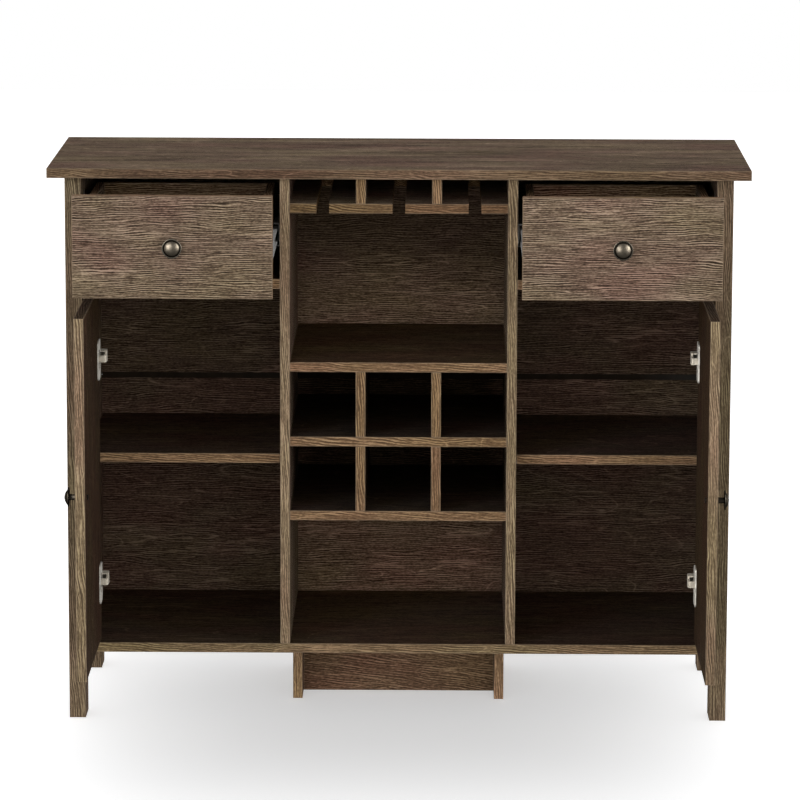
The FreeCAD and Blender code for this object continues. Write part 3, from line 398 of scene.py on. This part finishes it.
def rings(tree, growth, count):
    """Growth rings: a tone that rises and falls evenly as the growth goes on."""
    return maths(tree, "PINGPONG", maths(tree, "MULTIPLY", growth, count), RING_FOLD)


def thin_lines(tree, away, softness, source, patch, patch_span):
    """Thin lines where a distance is near 0, in patches of the board."""
    line = spread(tree, away, 0.0, softness, 1.0, 0.0)
    return maths(tree, "MULTIPLY", line, spread(tree, layer(tree, source, patch), *patch_span))


def oak_group():
    """Node group: grain coordinates and weights in, colour, roughness and height out."""
    tree = bpy.data.node_groups.new("oak_grain", "ShaderNodeTree")
    tree.interface.new_socket("Grain", in_out="INPUT", socket_type="NodeSocketVector")
    for name in SET_WEIGHTS:
        tree.interface.new_socket(name, in_out="INPUT", socket_type="NodeSocketFloat")
    for name, kind in (("Color", "NodeSocketColor"), ("Roughness", "NodeSocketFloat"),
                       ("Height", "NodeSocketFloat")):
        tree.interface.new_socket(name, in_out="OUTPUT", socket_type=kind)
    inputs = tree.nodes.new("NodeGroupInput").outputs
    source = inputs["Grain"]

    place = sideways(tree, source, layer(tree, source, BEND, BROAD), BEND_REACH)
    place = sideways(tree, place, layer(tree, source, RIPPLE), RIPPLE_REACH)
    fibre = centred(tree, layer(tree, place, FIBRE))
    pore = spread(tree, layer(tree, place, PORE), *PORE_SPAN, 1.0, 0.0)
    band = centred(tree, layer(tree, place, BAND, BROAD))
    from_vein = distance(tree, layer(tree, place, VEIN), NOISE_MIDDLE)
    vein = thin_lines(tree, from_vein, VEIN_SOFTNESS, source, VEIN_PATCH, VEIN_PATCH_SPAN)
    growth = layer(tree, place, GROWTH, FINE, GROWTH_ROUGHNESS)
    ring = centred(tree, rings(tree, growth, RINGS), RING_MIDDLE)
    from_arch = rings(tree, growth, ARCH_RINGS)
    arch = thin_lines(tree, from_arch, ARCH_SOFTNESS, source, ARCH_PATCH, ARCH_PATCH_SPAN)

    tone = NOISE_MIDDLE
    for part, weight in ((grain_lines(tree, place), inputs["Lines"]), (fibre, FIBRE_WEIGHT),
                         (band, inputs["Band"]), (ring, RING_WEIGHT), (vein, VEIN_WEIGHT),
                         (arch, inputs["Arch"]), (pore, PORE_WEIGHT)):
        tone = maths(tree, "MULTIPLY_ADD", part, weight, tone)
    colour = ramp(tree, tone, TONE_SPAN, OAK_GRAIN)
    hue = ramp(tree, layer(tree, source, DRIFT, BROAD), DRIFT_SPAN, OAK_HUES)
    colour = mixed(tree, TINT_SHARE, colour, hue, "COLOR")

    roughness = spread(tree, tone, *SHEEN_SPAN, *OAK_ROUGHNESS)
    output = tree.nodes.new("NodeGroupOutput")
    for name, value in (("Color", colour), ("Roughness", roughness), ("Height", tone)):
        tree.links.new(value, output.inputs[name])
    return tree


def looking(tree, source, axis, sign):
    """1 on the faces that look along an axis, towards its sign, and 0 elsewhere."""
    normal = split(tree, source.outputs["Normal"])[AXES[axis]]
    return maths(tree, "GREATER_THAN", maths(tree, "MULTIPLY", normal, sign), FACING)


def looking_either_way(tree, source, axis):
    """1 on the faces that look along an axis, either way, and 0 elsewhere."""
    return maths(tree, "MAXIMUM", looking(tree, source, axis, 1), looking(tree, source, axis, -1))


def grain_coordinates(tree, source, grain, end_grain, offset, slant, scale):
    """Object coordinates with the grain first; the banded ends of a board have a direction of their own."""
    inputs = {0: source.outputs["Object"], "Scale": scale}
    sized = add(tree, "VectorMath", inputs, operation="SCALE").outputs[0]
    parts = split(tree, vectors(tree, "ADD", sized, offset))

    def ordered(axis):
        along = parts[AXES[axis]]
        others = [parts[index] for name, index in AXES.items() if name != axis]
        across = maths(tree, "MULTIPLY_ADD", along, slant, others[0])
        return add(tree, "CombineXYZ", {0: along, 1: across, 2: others[1]}).outputs[0]

    at_end = looking_either_way(tree, source, grain)
    return mixed(tree, at_end, ordered(grain), ordered(end_grain), kind="VECTOR")


def edge_mask(tree, source, low, high, width):
    """1 along the outer arrises of a board's box, fading to 0 within width."""
    centre = (low + high) / 2
    half = (high - low) / 2
    offset = vectors(tree, "ABSOLUTE", vectors(tree, "SUBTRACT", source.outputs["Object"], centre))
    depth = split(tree, vectors(tree, "SUBTRACT", half, offset))
    least = maths(tree, "MINIMUM", maths(tree, "MINIMUM", depth[0], depth[1]), depth[2])
    most = maths(tree, "MAXIMUM", maths(tree, "MAXIMUM", depth[0], depth[1]), depth[2])
    total = maths(tree, "ADD", maths(tree, "ADD", depth[0], depth[1]), depth[2])
    middle = maths(tree, "SUBTRACT", maths(tree, "SUBTRACT", total, least), most)
    return spread(tree, middle, 0.0, width, 1.0, 0.0)


def hardboard(tree, source):
    """Bare pressed fibreboard: brown felt with short pale and dark fibres."""
    place = source.outputs["Object"]
    felt = noise(tree, place, FELT_SCALE, FELT_DETAIL, FELT_ROUGHNESS, FELT_DISTORTION)
    cloud = centred(tree, noise(tree, place, FELT_CLOUD_SCALE, BROAD))
    tone = maths(tree, "MULTIPLY_ADD", cloud, FELT_CLOUD_SHARE, felt)
    return ramp(tree, tone, HARDBOARD_SPAN, HARDBOARD)


def middle_painted_light_and_shade(tree, node, parts, on_face, shade):
    """Tone of a board that passes all three bays: painted light in the middle bay, painted shade under the
    stemware board and behind the rack.
    """
    middle = spread(tree, maths(tree, "ABSOLUTE", parts[0]), *MIDDLE_SPAN, 1.0, 0.0)
    tone = MIDDLE_PAINTED_LIGHT[node]
    if node in HIGH_PAINTED_SHADE:
        tone = mixed(tree, spread(tree, parts[2], *HIGH_SPAN), tone, HIGH_PAINTED_SHADE[node])
    shade = mixed(tree, maths(tree, "MULTIPLY", middle, on_face), shade, tone)
    from_rack = distance(tree, parts[2], RACK_HEIGHT)
    behind_rack_painted_shade = maths(tree, "MULTIPLY", middle, maths(tree, "LESS_THAN", from_rack, RACK_REACH))
    return mixed(tree, behind_rack_painted_shade, shade, RACK_PAINTED_SHADE)


def board_tone_and_painted_shade(tree, node, source, on_face):
    """Tone that multiplies the grain of a board, by the direction of its faces and their place: edge bands,
    and painted light and shade on faces, door sides, low edges and the middle bay.
    """
    shade = mixed(tree, on_face, EDGE_PAINTED_LIGHT_AND_SHADE.get(node, EDGE_TONE), FACE_PAINTED_LIGHT_AND_SHADE.get(node, FACE_TONE))
    # painted shade on the doors' inner faces and tops
    for direction in DOOR_PAINTED_SHADE_SIDES.get(node, ()):
        shade = mixed(tree, looking(tree, source, *direction), shade, DOOR_PAINTED_SHADE_TONE)
    parts = split(tree, source.outputs["Object"])
    # painted light and shade on the edges towards the floor
    if node in LOW_EDGE_PAINTED_LIGHT_AND_SHADE:
        span, tone = LOW_EDGE_PAINTED_LIGHT_AND_SHADE[node]
        low_painted_edge = maths(tree, "SUBTRACT", spread(tree, parts[2], *span, 1.0, 0.0), on_face)
        shade = mixed(tree, maths(tree, "MAXIMUM", low_painted_edge, 0.0), shade, tone)
    if node in MIDDLE_PAINTED_LIGHT:
        shade = middle_painted_light_and_shade(tree, node, parts, on_face, shade)
    return shade


def oak_board(node, grain, end_grain, offset):
    """Oak-look finish for one board: own stretch of grain, face and edge tones with painted light and
    shade, and pale arrises that are partly wear, partly painted highlight.
    """
    made, tree, shader = material("oak_" + node)
    source = add(tree, "TexCoord")
    low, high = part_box(node)
    sizes = high - low
    thin = min(AXES, key=lambda axis: sizes[AXES[axis]])
    on_face = looking_either_way(tree, source, thin)
    runs = zip(EDGE_RUN, BOARD_RUNS.get(node, FACE_RUN))
    slant, scale, softness = [spread(tree, on_face, 0.0, 1.0, *pair) for pair in runs]
    place = grain_coordinates(tree, source, grain, end_grain, offset, slant, scale)
    weights = SET_WEIGHTS | BOARD_WEIGHTS.get(node, {})
    oak = add(tree, "Group", node_tree=OAK)
    tree.links.new(place, oak.inputs["Grain"])
    for name, weight in weights.items():
        oak.inputs[name].default_value = weight
    colour = mixed(tree, softness, oak.outputs["Color"], OAK_MID)
    colour = mixed(tree, 1.0, colour, board_tone_and_painted_shade(tree, node, source, on_face), "MULTIPLY")
    # pale arrises, partly wear and partly painted highlight
    rub = noise(tree, source.outputs["Object"], WEAR_SCALE, WEAR_DETAIL)
    worn_and_highlit = maths(tree, "MULTIPLY", edge_mask(tree, source, low, high, EDGE_WEAR_AND_HIGHLIGHT_WIDTH), rub)
    colour = mixed(tree, worn_and_highlit, colour, OAK_EDGE_WEAR_AND_HIGHLIGHT)
    if node in BARE_SIDES:
        colour = mixed(tree, looking(tree, source, *BARE_SIDES[node]), colour, hardboard(tree, source))
    surface(tree, shader, colour, oak.outputs["Roughness"], oak.outputs["Height"], OAK_BUMP, OAK_DEPTH)
    shader.inputs["Specular IOR Level"].default_value = OAK_SPECULAR
    dress(node, made)


OAK = oak_group()
for index, (node, (grain, end_grain)) in enumerate(sorted(GRAIN.items())):
    oak_board(node, grain, end_grain, OFFSET_STEP * index)


# Metal, plastic and bare wood

FINISH_SPAN = (0.3, 0.7)        # noise values between which a finish changes
FINISH_DETAIL = 3.0
FINISH_GRIT = 0.6               # how strong the fine part of the noise is
CLOUD_SCALE = 70.0
CLOUD_SHARE = 0.6
FINISH_DEPTH = 0.00005
BLACKENED = (srgb(26, 23, 19), srgb(46, 41, 35))
BLACKENED_REACH = 0.02
PRESSED = (0.0008, 0.0008, 0.012)  # cells of the noise along X, Y and Z


def textured(name, colours, roughness, cell, bump, metallic, specular=0.5, black_height=None):
    """A streaked finish: tone, roughness and relief follow noise with cells of one (x, y, z) size.

    Where a black height is given, the pieces near that height are blackened."""
    made, tree, shader = material(name)
    source = add(tree, "TexCoord").outputs["Object"]
    streak = noise(tree, vectors(tree, "DIVIDE", source, cell), 1.0, FINISH_DETAIL, FINISH_GRIT)
    cloud = centred(tree, noise(tree, source, CLOUD_SCALE, BROAD))
    tone = maths(tree, "MULTIPLY_ADD", cloud, CLOUD_SHARE, streak)
    colour = ramp(tree, tone, FINISH_SPAN, colours)
    if black_height is not None:
        away = distance(tree, split(tree, source)[2], black_height)
        black = ramp(tree, tone, FINISH_SPAN, BLACKENED)
        colour = mixed(tree, maths(tree, "LESS_THAN", away, BLACKENED_REACH), colour, black)
    surface(tree, shader, colour, spread(tree, tone, *FINISH_SPAN, *roughness), streak, bump, FINISH_DEPTH)
    shader.inputs["Metallic"].default_value = metallic
    shader.inputs["Specular IOR Level"].default_value = specular
    return made


NICKEL = textured("hinge_nickel", colours=(srgb(104, 98, 88), srgb(148, 141, 128)), roughness=(0.72, 0.60),
                  cell=PRESSED, bump=0.25, metallic=0.6)
# Hinge-cup nickel: a paler copy of the arms' nickel, painted light on the flanges
CUP_NICKEL_PAINTED_LIGHT = textured("cup_nickel_painted_light", colours=(srgb(126, 122, 114), srgb(176, 172, 164)),
                      roughness=(0.56, 0.44), cell=PRESSED, bump=0.25, metallic=0.8)
ZINC = textured("slide_zinc", colours=(srgb(104, 104, 103), srgb(152, 151, 149)), roughness=(0.66, 0.54),
                cell=(0.0009, 0.02, 0.0009), bump=0.3, metallic=0.35)
FASTENER_FINISH = {"colours": (srgb(150, 148, 140), srgb(204, 202, 194)), "roughness": (0.4, 0.28),
                   "cell": (0.0012, 0.0012, 0.0012), "bump": 0.2, "metallic": 1.0}
FASTENER = textured("fastener_zinc", **FASTENER_FINISH)
PLASTIC = textured("strip_plastic", colours=(srgb(32, 25, 18), srgb(47, 37, 27)), roughness=(0.8, 0.65),
                   cell=(0.0007, 0.0007, 0.0007), bump=0.5, metallic=0.0, specular=0.08)
BEECH = textured("dowel_beech", colours=(srgb(186, 154, 116), srgb(224, 198, 160)), roughness=(0.75, 0.6),
                 cell=(0.004, 0.0006, 0.004), bump=0.5, metallic=0.0)

# Knobs
KNOB_BRONZE = (srgb(33, 30, 25), srgb(48, 44, 38))
KNOB_PATINA = srgb(8, 7, 5)
# Painted shade on the outer rim of the knob
KNOB_RIM_PAINTED_SHADE = srgb(24, 22, 18)
KNOB_GRAZING = srgb(40, 37, 32)  # tint of reflections at the outline
KNOB_ROUGHNESS = (0.50, 0.42)
KNOB_BUMP = 0.15
DOME_RADIUS = 0.0120
GROOVE_WIDTH = 0.0018
RIM_RADIUS = 0.0148
RIM_PAINTED_SHADE_WIDTH = 0.0010
HAMMER_SCALE = 260.0
HAMMER_DETAIL = 4.0


def knob(node):
    """Antique bronze: mottled dome, black patina in the groove round it, and painted shade darkening the
    rim.
    """
    made, tree, shader = material(node + "_bronze")
    low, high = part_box(node)
    sizes = high - low
    across = sorted(sizes)[1]
    axis = max(AXES.values(), key=lambda index: abs(sizes[index] - across))
    flat = [float(index != axis) for index in AXES.values()]
    source = add(tree, "TexCoord").outputs["Object"]
    offset = vectors(tree, "MULTIPLY", vectors(tree, "SUBTRACT", source, (low + high) / 2), flat)
    radius = length(tree, offset)
    mottle = noise(tree, source, HAMMER_SCALE, HAMMER_DETAIL, FINISH_GRIT)
    colour = ramp(tree, mottle, FINISH_SPAN, KNOB_BRONZE)
    from_groove = distance(tree, radius, DOME_RADIUS)
    patina = spread(tree, from_groove, GROOVE_WIDTH / 2, GROOVE_WIDTH, 1.0, 0.0)
    colour = mixed(tree, patina, colour, KNOB_PATINA)
    # painted shade along the rim
    painted_rim_shade = maths(tree, "MULTIPLY", spread(tree, radius, RIM_RADIUS - RIM_PAINTED_SHADE_WIDTH, RIM_RADIUS), mottle)
    colour = mixed(tree, painted_rim_shade, colour, KNOB_RIM_PAINTED_SHADE)
    roughness = spread(tree, mottle, *FINISH_SPAN, *KNOB_ROUGHNESS)
    surface(tree, shader, colour, roughness, mottle, KNOB_BUMP, FINISH_DEPTH)
    shader.inputs["Metallic"].default_value = 1.0
    shader.inputs["Specular Tint"].default_value = KNOB_GRAZING
    dress(node, made)


def door_screws(node):
    """Screws of one door: bright in the hinge cups, blackened behind the knob."""
    low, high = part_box(node.replace("screws", "knob"))
    middle = (low + high) / 2
    dress(node, textured(node + "_zinc", **FASTENER_FINISH, black_height=middle.z))


for node in NODES:
    if node in GRAIN:
        continue
    if node.endswith("_knob"):
        knob(node)
    elif node.endswith("_hinge_cups"):
        dress(node, CUP_NICKEL_PAINTED_LIGHT)
    elif "hinge" in node:
        dress(node, NICKEL)
    elif "slide" in node or "ball_cages" in node:
        dress(node, ZINC)
    elif node.endswith("_door_screws"):
        door_screws(node)
    elif node == "back_joint_strip":
        dress(node, PLASTIC)
    elif node == "wood_dowels":
        dress(node, BEECH)
    else:
        dress(node, FASTENER)


# Floor, light and camera

def seen_directly(tree):
    """1 where a surface is looked at, also in metal or through glass, and 0 where it lights the scene."""
    path = add(tree, "LightPath").outputs
    seen = maths(tree, "MAXIMUM", path["Is Camera Ray"], path["Is Glossy Ray"])
    return maths(tree, "MAXIMUM", seen, path["Is Transmission Ray"])


def make_floor():
    """A pale floor that keeps the cabinet's shadow, with a painted shadow where its glow is weaker near the
    cabinet, and turns white away from it.
    """
    mesh = bpy.data.meshes.new("floor")
    near, far = -FLOOR_HALF, FLOOR_HALF
    corners = [(near, near, 0.0), (far, near, 0.0), (far, far, 0.0), (near, far, 0.0)]
    mesh.from_pydata(corners, [], [range(len(corners))])
    floor = bpy.data.objects.new("floor", mesh)
    bpy.context.scene.collection.objects.link(floor)
    made, tree, shader = material("floor")
    shader.inputs["Base Color"].default_value = FLOOR_COLOUR
    shader.inputs["Roughness"].default_value = FLOOR_ROUGHNESS
    shader.inputs["Specular IOR Level"].default_value = FLOOR_SPECULAR
    shader.inputs["Emission Color"].default_value = WHITE
    # painted shadow: the glow grows with distance from the cabinet
    away = vectors(tree, "SUBTRACT", add(tree, "TexCoord").outputs["Object"], FLOOR_MIDDLE)
    away = vectors(tree, "DIVIDE", away, PAINTED_SHADOW_REACH)
    reaches = maths(tree, "SQRT", length(tree, vectors(tree, "MULTIPLY", away, away)))
    share = maths(tree, "POWER", spread(tree, reaches, *GLOW_SPAN), GLOW_POWER)
    glow = spread(tree, share, 0.0, 1.0, GLOW_IN_PAINTED_SHADOW, GLOW_FAR)
    strength = maths(tree, "MULTIPLY", seen_directly(tree), glow)
    tree.links.new(strength, shader.inputs["Emission Strength"])
    mesh.materials.append(made)


def make_world():
    """The studio: white where it is seen, and bright round the horizon where it lights the cabinet."""
    world = bpy.data.worlds.new("studio")
    bpy.context.scene.world = world
    world.use_nodes = True
    tree = world.node_tree
    tree.nodes.clear()
    direction = split(tree, add(tree, "TexCoord").outputs["Generated"])
    glow = spread(tree, direction[2], HORIZON_TOP, ZENITH_START, HORIZON, ZENITH)
    beside = maths(tree, "ABSOLUTE", direction[0])
    glow = maths(tree, "MULTIPLY", glow, spread(tree, beside, SIDE_START, SIDE_END, 1.0, SIDE_SHARE))
    strength = spread(tree, seen_directly(tree), 0.0, 1.0, glow, 1.0)
    background = add(tree, "Background", {"Color": WHITE, "Strength": strength})
    output = add(tree, "OutputWorld")
    tree.links.new(background.outputs[0], output.inputs["Surface"])


def softbox(name, place):
    """A large soft lamp that shows only in reflections."""
    data = bpy.data.lights.new(name, "AREA")
    data.shape = "RECTANGLE"
    data.size, data.size_y = SOFTBOX_SIZE
    data.energy = SOFTBOX_WATTS
    light = bpy.data.objects.new(name, data)
    light.location = place
    light.visible_diffuse = False
    light.rotation_mode = "QUATERNION"
    light.rotation_quaternion = (Vector(LIGHT_AIM) - Vector(place)).to_track_quat("-Z", "Y")
    bpy.context.scene.collection.objects.link(light)


def make_camera():
    """The camera of the photograph: in front, a little above, and level but for a slight roll."""
    data = bpy.data.cameras.new("camera")
    data.sensor_width = SENSOR_WIDTH
    data.lens = CAMERA_LENS
    data.clip_end = CLIP_END
    camera = bpy.data.objects.new("camera", data)
    camera.location = CAMERA_PLACE
    pitch = math.radians(90 - CAMERA_PITCH_DEG)
    turn = Euler((pitch, 0, math.radians(CAMERA_YAW_DEG))).to_matrix()
    roll = Euler((0, 0, math.radians(CAMERA_ROLL_DEG))).to_matrix()
    camera.rotation_euler = (turn @ roll).to_euler()
    bpy.context.scene.collection.objects.link(camera)
    bpy.context.scene.camera = camera


make_floor()
make_world()
for name, place in SOFTBOX_PLACES.items():
    softbox(name, place)
make_camera()
bpy.context.scene.view_settings.view_transform = "Standard"
